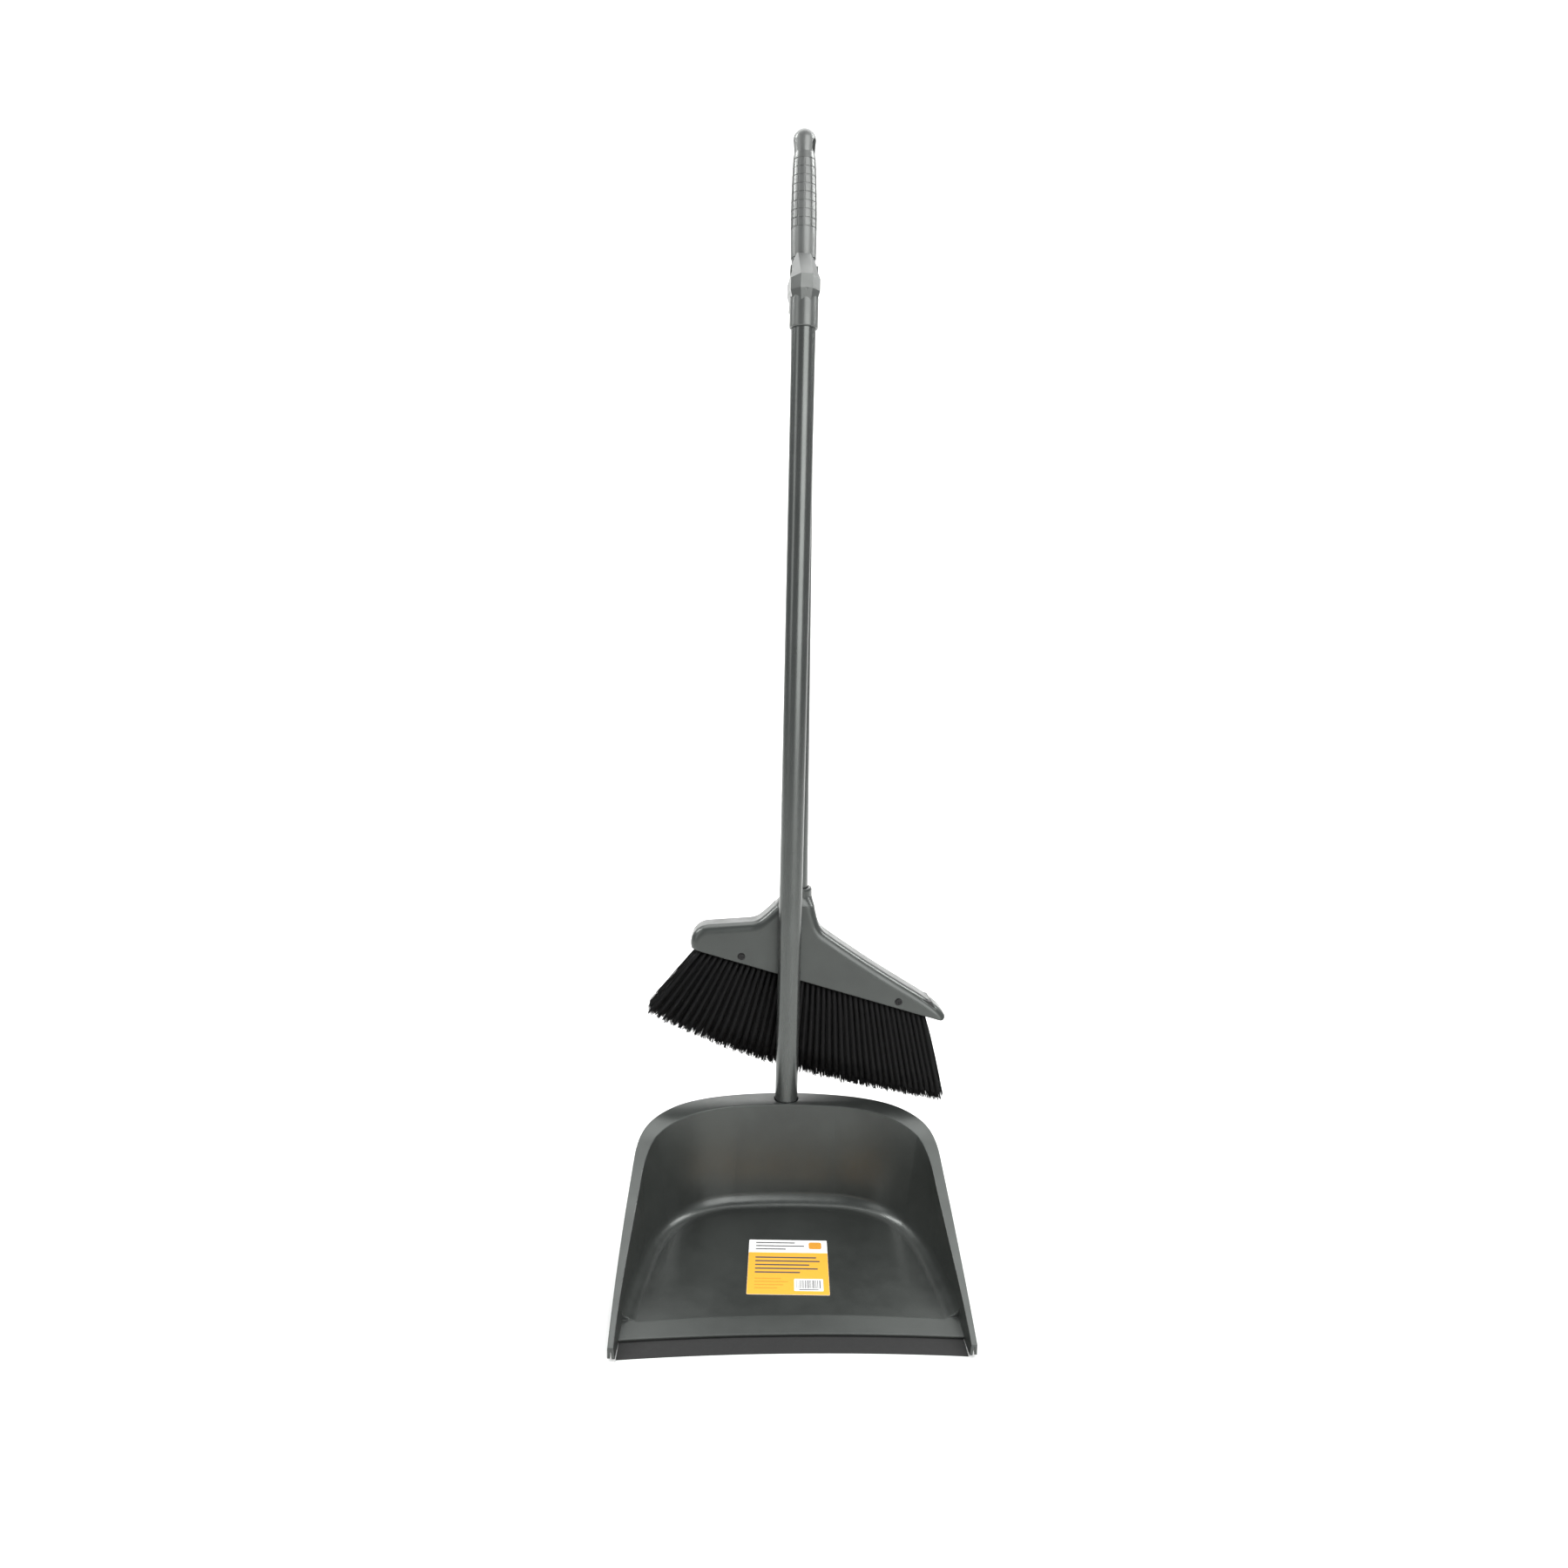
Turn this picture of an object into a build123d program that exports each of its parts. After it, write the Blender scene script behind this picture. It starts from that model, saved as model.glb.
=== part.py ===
"""Long-handled dust pan with a brush that clips behind it.

Frame: the dust pan's tube stands on the origin along +Z, the pan opens towards -Y, the brush hangs
on the +Y side, +X is to the right when looking into the pan, and Z = 0 is the floor. Millimetres.
"""

from build123d import *
import math
import os

# ---------------------------------------------------------------- driving dimensions

# tubes of both handles
TUBE_RADIUS = 10.5
TUBE_WALL = 0.6
FIT = 0.05  # radial room between a tube and what it is pressed into

# dust pan: plan of the rim and of the tray, right half, from the back to the front
RIM_HEIGHT = 108.0
PAN_FRONT = -225.0
RIM_PLAN = [(0, 12.7), (55.6, 6.2), (121.5, -34.7), (134.9, -67.9), (137.5, -260)]
TRAY_TOP_PLAN = [(0, -13.2), (44, -15.7), (118.6, -49.7), (129.6, -70.3), (148.5, -232)]
TRAY_BASE_PLAN = [(0, -20), (48, -22.5), (104, -61), (121, -110), (133, -232)]
TRAY_TOP_HEIGHT = 110.0
PAN_WALL = 2.2
TRAY_CORNER_RADIUS = 12.0
TRAY_BASE_LIMIT = 20.0  # edges of the tray below this height are its floor's edges
RIM_NOSE = 1.5  # thickness of the rim's sheet where it turns down at the tips

# side view of the rim: it climbs from the tips to the level back
RIM_TIP = (-225.0, 10.1)
RIM_SHOULDER = (-54.9, 92.7)
RIM_CLIMB_ANGLE = 17.8
RIM_SKIRT = 8.0  # how far the folded edge of the rim hangs
RIM_SHEET = 2.0

# floor of the pan and its ramp
FLOOR_FRONT = -180.0
FLOOR_FRONT_HEIGHT = 6.2
FLOOR_SLOPE = 2.6  # degrees, rising to the back
FLOOR_SHEET = 2.4
RAMP_END = -200.0
RAMP_END_HEIGHT = 3.6
FRONT_BEAM_BACK = -186.0  # the floor's front is solid from here forwards

# wiping lip, drawn in rings about a point far in front, so that its middle is set back
LIP_RADIUS = 1590.0
LIP_HALF_WIDTH = 132.5
LIP_UNDER_RAMP = 11.0
LIP_FRONT = -220.0
LIP_SHEET = 1.6
LIP_EDGE_WIDTH = 3.8
LIP_EDGE_SHEET = 1.0

# socket column behind the tray and the pan's tube
COLUMN_RADIUS = 13.2
COLUMN_MOUTH = 11.6
COLUMN_MOUTH_DEPTH = 9.0
RIB_SHEET = 2.4
RIB_PLACES = (-42.0, -24.0, 24.0, 42.0)
RIB_FRONT_LOW = (-26.0, 0.0)
RIB_BACK_LOW = (24.0, 0.0)
RIB_BACK_TOP = (6.0, 106.0)
RIB_FRONT_TOP = (-20.0, 106.0)
PAN_TUBE_BOTTOM = 62.0
PAN_TUBE_TOP = 838.0

# threaded ferrule in the lower end of each tube
FERRULE_PLUG = 24.0
FERRULE_COLLAR = 2.5
FERRULE_STUB = 22.0
FERRULE_STUB_RADIUS = 9.2
THREAD_PITCH = 4.0
THREAD_DEPTH = 0.8

# label on the pan's floor
LABEL_SIZE = (68.0, 76.0)
LABEL_CENTRE = (-0.4, -117.0)
LABEL_SHEET = 0.2
LABEL_TURN = -2.0

# clip at the top of the pan's tube: a round collar, a faceted hood and two jaws
CLIP_BOTTOM = 797.5
CLIP_COLLAR_TOP = 822.0
CLIP_COLLAR_RADIUS = 12.3
HOOD_TURN = 5.0  # degrees about the tube
HOOD_FOOT = 815.0
HOOD_KNEE = 827.0
HOOD_TUCK = 3.3  # how far the hood draws in from its knee to its foot
HOOD_TOP = 861.5
HOOD_HALF_WIDTH = 12.6
HOOD_FACE_HALF_WIDTH = 5.1
HOOD_FRONT = 14.2
HOOD_BACK = 17.2
ROOF_FRONT_HEIGHT = 838.3
ROOF_SIDE_HEIGHT = 836.5
ROOF_BACK = 8.0
SHOULDER_LINE = [(12.8, 836.5), (10.3, 845), (10.3, 852), (6, 861.5)]  # right, going up
HOOD_NOTCH = 1.2
HOOD_NOTCH_DROP = 2.0
HOOD_NOTCH_DEPTH = 0.8
JAW_BOTTOM = 820.0
JAW_TOP = 852.0
JAW_ROOT = 10.0
JAW_BORE = 10.8
JAW_WALL = 1.2
JAW_REACH = 9.0

# brush: its axis leans a little, and crosses the clip at CLIP_CROSSING
BRUSH_OFFSET = 29.0
BRUSH_LEAN = 0.695
CLIP_CROSSING = 841.0
BRUSH_TUBE_BOTTOM = 291.0
BRUSH_TUBE_TOP = 908.0

# grip: one moulding over the tube's top, with a domed cap; points are (radius, height)
GRIP_FOOT = (11.15, 863.2)
GRIP_BULGE = (11.35, 905.0)
GRIP_WAIST = (9.9, 943.5)
GRIP_NECK = (9.0, 948.7)
GRIP_CAP = (9.85, 959.15)
GRID_BOTTOM = 887.1
GRID_PITCH = 6.94
GRID_ROWS = 8
GRID_COLUMNS = 12
GROOVE_WIDTH = 1.1
GROOVE_DEPTH = 0.45
HANG_SLOT_HEIGHT = 12.1
HANG_SLOT_WIDTH = 8.8
HANG_SLOT_CENTRE = 954.3
HANG_SLOT_TURN = -19.0  # degrees about the brush's axis

# brush head, in the brush's own frame
HEAD_HALF_DEPTH = 16.5
HEAD_WALL = 2.4
HEAD_CREST_RADIUS = 8.0
SOCKET_TOP = 305.0
SOCKET_ROOT = 297.0  # where the neck has become round
SOCKET_RADIUS = 14.5
SOCKET_MOUTH = 11.4
SOCKET_MOUTH_DEPTH = 10.0
SOCKET_BEVEL = 2.0
SOCKET_BEVEL_ANGLE = 20.0
HEAD_LEFT = (-98.5, 249.4)  # ends of the head's straight lower edge
HEAD_RIGHT = (145.0, 176.1)
HEAD_END = (-83, 270.9)  # where the rounded left end meets the straight crest
HEAD_END_START = 104.8
HEAD_CREST = [(-43.5, 273.5), (-33, 277.6), (-14.5, 296)]
HEAD_SLOPE = [(15.2, 297), (20.2, 273.3), (28, 262.2), (112, 206.8), (134.5, 191.2), HEAD_RIGHT]
HEAD_SLOPE_START = -82.0
HEAD_TOE_RADIUS = 4.5  # rounding of the lower right corner
HEAD_TOE_ANGLE = 108.0  # in which the right end rises from it
HEAD_NECK_TOP = 325.0
HEAD_NECK_BASE = 289.0
HEAD_NECK_DEPTH = 15.5
HEAD_NECK_WIDTH = 36.8
HEAD_NECK_SHIFT = -1.8
HEAD_INNER_RADIUS = 3.0
SOCKET_DEPTH = 43.0
SOCKET_FLOOR = 3.0
SOCKET_CORE_RADIUS = 13.5
SCREW_ALONG = (47.1, 202.2)  # along the lower edge from its left end
SCREW_UP = 6.4
SCREW_HEAD_RADIUS = 3.5
SCREW_SHANK_RADIUS = 1.8
SCREW_HEAD_HEIGHT = 1.4
SCREW_HEAD_TAPER = 25.0
SCREW_RECESS = 3.8
SCREW_RECESS_WIDTH = 0.8
SCREW_BITE = 9.0

# bristles
BLOCK_HEIGHT = 13.0
BLOCK_RECESS = 1.5
BLOCK_SIDE_GAP = 0.3
BLOCK_END_GAP = 7.0
BLOCK_END_SLANT = 1.0
TUFT_ROWS = 6
TUFT_ROW_PITCH = 4.4
TUFT_COLUMNS = 22
TUFT_RADIUS = 1.7
TUFT_DEPTH = 9.0
TUFT_FIRST = 10.0  # first tuft, from the left end of the lower edge
TUFT_LAST = 26.1
ANCHOR_SIZE = (3.2, 0.6)
ANCHOR_HEIGHT = 1.2
BRISTLE_LENGTH = 80.0
BRISTLE_GAIN = 4.0  # how much longer the right end's bristles are than the left end's
BRISTLE_BOW = 8.0
BRISTLE_SPLAY = 2.4
FAN_ENDS = (7.2, 10.2)  # where the fan's roots stop, from each end of the lower edge
FAN_STEPS = 6
BRISTLE_ROW_THICKNESS = 1.6
BRISTLE_LEAN_LEFT = -39.0  # degrees to the right, at the left end
BRISTLE_LEAN_RIGHT = 5.0  # and at the right end


# ---------------------------------------------------------------- shared geometry

FAR = 200.0  # reach of the forms that only cut others
BACKDROP = 40.0  # behind everything of the pan

brush_frame = Plane(
    origin=(CLIP_CROSSING * math.tan(math.radians(BRUSH_LEAN)), BRUSH_OFFSET, 0),
    x_dir=(math.cos(math.radians(BRUSH_LEAN)), 0, math.sin(math.radians(BRUSH_LEAN))),
    z_dir=(-math.sin(math.radians(BRUSH_LEAN)), 0, math.cos(math.radians(BRUSH_LEAN))),
)

floor_frame = Plane(
    origin=(0, FLOOR_FRONT, FLOOR_FRONT_HEIGHT),
    x_dir=(1, 0, 0),
    z_dir=(0, -math.sin(math.radians(FLOOR_SLOPE)), math.cos(math.radians(FLOOR_SLOPE))),
)


def brush_level(height):
    """Plane square to the brush's axis at this height."""
    return brush_frame.offset(height)


def brush_side(offset=0.0):
    """Upright plane of the brush, seen from the front: local x to the right, local y up."""
    return Plane(
        origin=brush_frame.from_local_coords((0, offset, 0)),
        x_dir=brush_frame.x_dir,
        z_dir=-brush_frame.y_dir,
    )


def end_angle(start, end, angle):
    """Direction, in degrees, in which an arc that leaves start at this angle reaches end."""
    chord = math.degrees(math.atan2(end[1] - start[1], end[0] - start[0]))
    return 2 * chord - angle


def direction(angle):
    return (math.cos(math.radians(angle)), math.sin(math.radians(angle)))


def half_outline(points):
    """Tangent arcs through a plan's right half, square to the middle line at the back."""
    angle = 0.0
    for start, end in zip(points, points[1:]):
        TangentArc(start, end, tangent=direction(angle))
        angle = end_angle(start, end, angle)


def plan_sketch(points, height, grow=0.0):
    """Closed plan, both halves, on the level plane at this height."""
    with BuildSketch(Plane.XY.offset(height)) as plan:
        with BuildLine():
            half_outline(points)
            mirror(about=Plane.YZ)
            Line(points[-1], (-points[-1][0], points[-1][1]))
        make_face()
        if grow:
            offset(amount=grow, kind=Kind.INTERSECTION)
    return plan.sketch


def rim_line():
    """Side view of the rim's top: a hollow climb, a rounded shoulder, then level to the back."""
    TangentArc(RIM_TIP, RIM_SHOULDER, tangent=direction(RIM_CLIMB_ANGLE))
    slope = end_angle(RIM_TIP, RIM_SHOULDER, RIM_CLIMB_ANGLE)
    turn = math.radians(slope)
    radius = (RIM_HEIGHT - RIM_SHOULDER[1]) / (1 - math.cos(turn))
    crest = (RIM_SHOULDER[0] + radius * math.sin(turn), RIM_HEIGHT)
    TangentArc(RIM_SHOULDER, crest, tangent=direction(slope))
    Line(crest, (BACKDROP, RIM_HEIGHT))


def under_rim(drop=0.0):
    """Everything below the rim's top surface, lowered by drop."""
    with BuildPart() as below:
        with BuildSketch(Plane.YZ.offset(-FAR)):
            with BuildLine():
                rim_line()
                Polyline(
                    (BACKDROP, RIM_HEIGHT), (BACKDROP, -FAR), (-2 * FAR, -FAR), (-2 * FAR, 0), RIM_TIP
                )
            make_face()
        extrude(amount=2 * FAR)
    return Pos(0, 0, -drop) * below.part


def ring(points):
    """Turns a radial section about the lip's far centre; points are (y at the middle, z)."""
    centre = (0, RAMP_END - LIP_RADIUS, 0)
    spread = 6.0
    start = Plane(
        origin=centre,
        x_dir=(math.sin(math.radians(-spread)), math.cos(math.radians(-spread)), 0),
        z_dir=(math.cos(math.radians(-spread)), -math.sin(math.radians(-spread)), 0),
    )
    with BuildPart() as turned:
        with BuildSketch(start):
            with BuildLine():
                Polyline([(y - centre[1], z) for y, z in points], close=True)
            make_face()
        revolve(axis=Axis(centre, (0, 0, 1)), revolution_arc=-2 * spread)
    return turned.part


# ---------------------------------------------------------------- dust pan


def floor_height(y):
    """Top of the pan's floor at this distance from the tube."""
    return FLOOR_FRONT_HEIGHT + (y - FLOOR_FRONT) * math.tan(math.radians(FLOOR_SLOPE))


def above_floor(drop=0.0):
    """Everything over the pan's tilted floor, lowered by drop."""
    with BuildPart() as above:
        with BuildSketch(floor_frame.offset(-drop)):
            Rectangle(4 * FAR, 4 * FAR)
        extrude(amount=FAR)
    return above.part


def tray_form(grow=0.0):
    """The tapering form of the tray from the floor level up, grown outwards."""
    base = plan_sketch(TRAY_BASE_PLAN, 0, grow)
    top = plan_sketch(TRAY_TOP_PLAN, TRAY_TOP_HEIGHT, grow)
    with BuildPart() as form:
        add(base)
        add(top)
        loft(ruled=True)
    return form.part


def slab(y_low, y_high, z_low, z_high, half_width=FAR):
    """Box across the pan."""
    with BuildPart() as block:
        with BuildSketch(Plane.YZ.offset(-half_width)):
            with Locations(((y_low + y_high) / 2, (z_low + z_high) / 2)):
                Rectangle(y_high - y_low, z_high - z_low)
        extrude(amount=2 * half_width)
    return block.part


def tray_cavity():
    """Room inside the tray, with the long round between its floor and walls."""
    inside = tray_form()
    above = above_floor()
    with BuildPart() as cavity:
        add(inside)
        add(above, mode=Mode.INTERSECT)
        low = cavity.edges().filter_by(lambda e: e.center().Z < TRAY_BASE_LIMIT)
        fillet(low.filter_by(lambda e: e.center().Y > PAN_FRONT), radius=TRAY_CORNER_RADIUS)
    return cavity.part


def rim_sheet():
    """The rim as a folded sheet: a level band outside the tray and a hanging edge."""
    outline = plan_sketch(RIM_PLAN, 0)
    inner_outline = plan_sketch(RIM_PLAN, 0, -RIM_SHEET)
    below_top = under_rim()
    below_skirt = under_rim(RIM_SKIRT)
    below_band = Pos(0, RIM_NOSE, 0) * under_rim(RIM_SHEET)
    with BuildPart() as band:
        add(outline)
        extrude(amount=RIM_HEIGHT + 1)
        add(below_top, mode=Mode.INTERSECT)
        add(below_band, mode=Mode.SUBTRACT)
    with BuildPart() as skirt:
        add(outline)
        extrude(amount=RIM_HEIGHT + 1)
        add(below_top, mode=Mode.INTERSECT)
        add(inner_outline)
        extrude(amount=RIM_HEIGHT + 1, mode=Mode.SUBTRACT)
        add(below_skirt, mode=Mode.SUBTRACT)
    return skirt.part + band.part


def socket_column():
    """Column behind the tray that takes the tube, with ribs down to the floor."""
    with BuildPart() as column:
        with BuildSketch():
            Circle(COLUMN_RADIUS)
        extrude(amount=RIM_HEIGHT)
        for x in RIB_PLACES:
            with BuildSketch(Plane.YZ.offset(x - RIB_SHEET / 2)):
                with BuildLine():
                    Polyline(RIB_FRONT_LOW, RIB_BACK_LOW, RIB_BACK_TOP, RIB_FRONT_TOP, close=True)
                make_face()
            extrude(amount=RIB_SHEET)
    return column.part


def make_pan_shell():
    body = tray_form(PAN_WALL)
    cavity = tray_cavity()
    inside = tray_form()
    below = under_rim()
    rim = rim_sheet()
    column = socket_column()
    ramp = ring(
        [
            (FLOOR_FRONT, RIM_HEIGHT),
            (FLOOR_FRONT, FLOOR_FRONT_HEIGHT),
            (RAMP_END, RAMP_END_HEIGHT),
            (RAMP_END, -FAR),
            (-2 * FAR, -FAR),
            (-2 * FAR, RIM_HEIGHT),
        ]
    )
    over_ramp = ramp & inside
    lip_pocket = ring(
        [
            (RAMP_END + LIP_UNDER_RAMP, -1),
            (RAMP_END + LIP_UNDER_RAMP, LIP_SHEET),
            (-2 * FAR, LIP_SHEET),
            (-2 * FAR, -1),
        ]
    )
    under_floor = inside - above_floor(FLOOR_SHEET) - slab(-2 * FAR, FRONT_BEAM_BACK, -1, RIM_HEIGHT)
    before_tips = slab(-2 * FAR, PAN_FRONT, -1, RIM_HEIGHT + 1)
    stub_depth = RIM_HEIGHT - PAN_TUBE_BOTTOM + FERRULE_COLLAR + FERRULE_STUB + 1
    with BuildPart() as pan_shell:
        add(body)
        add(below, mode=Mode.INTERSECT)
        add(rim)
        add(column)
        add(cavity, mode=Mode.SUBTRACT)
        add(over_ramp, mode=Mode.SUBTRACT)
        add(under_floor, mode=Mode.SUBTRACT)
        add(lip_pocket, mode=Mode.SUBTRACT)
        add(before_tips, mode=Mode.SUBTRACT)
        with BuildSketch(Plane.XY.offset(RIM_HEIGHT)):
            Circle(COLUMN_MOUTH)
        extrude(amount=-COLUMN_MOUTH_DEPTH, mode=Mode.SUBTRACT)
        with BuildSketch(Plane.XY.offset(RIM_HEIGHT)):
            Circle(TUBE_RADIUS + FIT)
        extrude(amount=-(RIM_HEIGHT - PAN_TUBE_BOTTOM + FERRULE_COLLAR), mode=Mode.SUBTRACT)
        with BuildSketch(Plane.XY.offset(RIM_HEIGHT)):
            Circle(FERRULE_STUB_RADIUS + THREAD_DEPTH + FIT)
        extrude(amount=-stub_depth, mode=Mode.SUBTRACT)
    return pan_shell.part


def lip_strip(points):
    """One strip of the wiping lip, cut to the width between the rim's tips."""
    whole_ring = ring(points)
    width = slab(-2 * FAR, 0, -1, RIM_HEIGHT, LIP_HALF_WIDTH)
    with BuildPart() as strip:
        add(whole_ring)
        add(width, mode=Mode.INTERSECT)
    return strip.part


def make_lip_rubber():
    return lip_strip(
        [
            (RAMP_END + LIP_UNDER_RAMP, 0),
            (RAMP_END + LIP_UNDER_RAMP, LIP_SHEET),
            (RAMP_END - 1, LIP_SHEET),
            (LIP_FRONT, LIP_EDGE_SHEET),
            (LIP_FRONT, 0),
        ]
    )


def make_lip_edge():
    tip = LIP_FRONT - LIP_EDGE_WIDTH
    return lip_strip([(LIP_FRONT, 0), (LIP_FRONT, LIP_EDGE_SHEET), (tip, LIP_EDGE_SHEET / 2), (tip, 0)])


def make_label():
    place = Vector(LABEL_CENTRE[0], LABEL_CENTRE[1], floor_height(LABEL_CENTRE[1]))
    centre = floor_frame.to_local_coords(place)
    with BuildPart() as label:
        with BuildSketch(floor_frame):
            with Locations(Location((centre.X, centre.Y, 0), (0, 0, LABEL_TURN))):
                RectangleRounded(*LABEL_SIZE, radius=1)
        extrude(amount=LABEL_SHEET)
    return label.part


# ---------------------------------------------------------------- tubes


def make_tube(frame, bottom, top):
    """Thin steel tube along a frame's axis."""
    with BuildPart() as tube:
        with BuildSketch(frame.offset(bottom)):
            Circle(TUBE_RADIUS)
            Circle(TUBE_RADIUS - TUBE_WALL, mode=Mode.SUBTRACT)
        extrude(amount=top - bottom)
    return tube.part


def make_ferrule(frame, bottom):
    """Plug pressed into a tube's lower end, with a collar and a threaded stub below it."""
    low = bottom - FERRULE_COLLAR - FERRULE_STUB
    with BuildPart() as ferrule:
        with BuildSketch(frame.offset(low)):
            Circle(FERRULE_STUB_RADIUS)
        extrude(amount=FERRULE_STUB)
        with BuildSketch(frame.offset(bottom - FERRULE_COLLAR)):
            Circle(TUBE_RADIUS)
        extrude(amount=FERRULE_COLLAR)
        with BuildSketch(frame.offset(bottom)):
            Circle(TUBE_RADIUS - TUBE_WALL - FIT)
        extrude(amount=FERRULE_PLUG)
        for turn in range(int(FERRULE_STUB / THREAD_PITCH)):
            with BuildSketch(frame.offset(low + (turn + 0.5) * THREAD_PITCH)):
                Circle(FERRULE_STUB_RADIUS + THREAD_DEPTH)
            extrude(amount=THREAD_PITCH / 4)
    return ferrule.part


# ---------------------------------------------------------------- clip


def hood_plan(height, tuck=0.0):
    """Outline of the hood at this height: a flat face, two bevels and a square back."""
    bevel = HOOD_HALF_WIDTH - HOOD_FACE_HALF_WIDTH
    with BuildSketch(Plane.XY.offset(height)) as plan:
        with BuildLine():
            Polyline(
                (-HOOD_FACE_HALF_WIDTH, -HOOD_FRONT),
                (HOOD_FACE_HALF_WIDTH, -HOOD_FRONT),
                (HOOD_HALF_WIDTH, -HOOD_FRONT + bevel),
                (HOOD_HALF_WIDTH, HOOD_BACK),
                (-HOOD_HALF_WIDTH, HOOD_BACK),
                (-HOOD_HALF_WIDTH, -HOOD_FRONT + bevel),
                close=True,
            )
        make_face()
        if tuck:
            offset(amount=-tuck, kind=Kind.INTERSECTION)
    return plan.sketch


def roof_side(side):
    """Plane of the bevel between the roof and one side of the hood, facing outwards."""
    bevel = HOOD_HALF_WIDTH - HOOD_FACE_HALF_WIDTH
    low = Vector(side * HOOD_FACE_HALF_WIDTH, -HOOD_FRONT, ROOF_FRONT_HEIGHT)
    high = Vector(side * HOOD_FACE_HALF_WIDTH, ROOF_BACK, HOOD_TOP)
    out = Vector(side * HOOD_HALF_WIDTH, -HOOD_FRONT + bevel, ROOF_SIDE_HEIGHT)
    return Plane(origin=low, x_dir=high - low, z_dir=(out - low).cross(high - low) * side)


def clip_hood():
    """Faceted hood over the collar: drawn in below its knee, with a roof sloping to the back."""
    knee = hood_plan(HOOD_KNEE)
    foot = hood_plan(HOOD_FOOT, HOOD_TUCK)
    past = HOOD_HALF_WIDTH + 1
    with BuildPart() as hood:
        add(knee)
        extrude(amount=HOOD_TOP - HOOD_KNEE)
        add(foot)
        add(knee)
        loft(ruled=True)
        with BuildSketch(Plane.YZ.offset(-past)):
            with BuildLine():
                Polyline(
                    (-HOOD_FRONT, ROOF_FRONT_HEIGHT),
                    (ROOF_BACK, HOOD_TOP),
                    (ROOF_BACK, HOOD_TOP + 1),
                    (-HOOD_FRONT - 1, HOOD_TOP + 1),
                    (-HOOD_FRONT - 1, ROOF_FRONT_HEIGHT),
                    close=True,
                )
            make_face()
        extrude(amount=2 * past, mode=Mode.SUBTRACT)
        for side in (-1, 1):
            with BuildSketch(roof_side(side)):
                Rectangle(FAR, FAR)
            extrude(amount=FAR, mode=Mode.SUBTRACT)
            with BuildSketch(Plane.XZ.offset(HOOD_FRONT + 1)):
                with BuildLine():
                    Polyline(
                        (side * (past + 1), SHOULDER_LINE[0][1]),
                        *[(side * x, z) for x, z in SHOULDER_LINE],
                        (side * SHOULDER_LINE[-1][0], HOOD_TOP + 1),
                        (side * (past + 1), HOOD_TOP + 1),
                        close=True,
                    )
                make_face()
            extrude(amount=-(HOOD_FRONT + HOOD_BACK + 2), mode=Mode.SUBTRACT)
        with BuildSketch(Plane.XZ.offset(HOOD_FRONT)):
            with BuildLine():
                Polyline(
                    (-HOOD_NOTCH, HOOD_KNEE),
                    (HOOD_NOTCH, HOOD_KNEE),
                    (0, HOOD_KNEE - HOOD_NOTCH_DROP),
                    close=True,
                )
            make_face()
        extrude(amount=-HOOD_NOTCH_DEPTH, mode=Mode.SUBTRACT)
    return Rot(0, 0, HOOD_TURN) * hood.part


def make_clip():
    hood = clip_hood()
    outside = JAW_BORE + JAW_WALL
    with BuildPart() as clip:
        with BuildSketch(Plane.XY.offset(CLIP_BOTTOM)):
            Circle(CLIP_COLLAR_RADIUS)
        extrude(amount=CLIP_COLLAR_TOP - CLIP_BOTTOM)
        fillet(clip.edges().group_by(Axis.Z)[0], radius=1)
        add(hood)
        with BuildSketch(Plane.XY.offset(JAW_BOTTOM)):
            with Locations((0, (JAW_ROOT + BRUSH_OFFSET + JAW_REACH) / 2)):
                Rectangle(2 * outside, BRUSH_OFFSET + JAW_REACH - JAW_ROOT)
        extrude(amount=JAW_TOP - JAW_BOTTOM)
        with BuildSketch(Plane.XY.offset(CLIP_BOTTOM)):
            with Locations((0, BRUSH_OFFSET)):
                Circle(JAW_BORE)
            with Locations((0, BRUSH_OFFSET + JAW_REACH)):
                Rectangle(2 * JAW_BORE, 2 * JAW_REACH)
        extrude(amount=HOOD_TOP - CLIP_BOTTOM, mode=Mode.SUBTRACT)
        tips = clip.edges().filter_by(Axis.Z).group_by(Axis.Y)[-1]
        fillet(tips, radius=JAW_WALL / 2 - 0.1)
        with BuildSketch(Plane.XY.offset(CLIP_BOTTOM)):
            Circle(TUBE_RADIUS + FIT)
        extrude(amount=PAN_TUBE_TOP - CLIP_BOTTOM, mode=Mode.SUBTRACT)
    return clip.part


# ---------------------------------------------------------------- grip

brush_fore_and_aft = Plane(
    origin=brush_frame.origin, x_dir=brush_frame.y_dir, z_dir=brush_frame.x_dir
)


def grip_barrel(sunk=0.0):
    """Curve of the grip's barrel in its radial section, sunk below its surface."""
    ThreePointArc(*[(radius - sunk, height) for radius, height in (GRIP_FOOT, GRIP_BULGE, GRIP_WAIST)])


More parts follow.
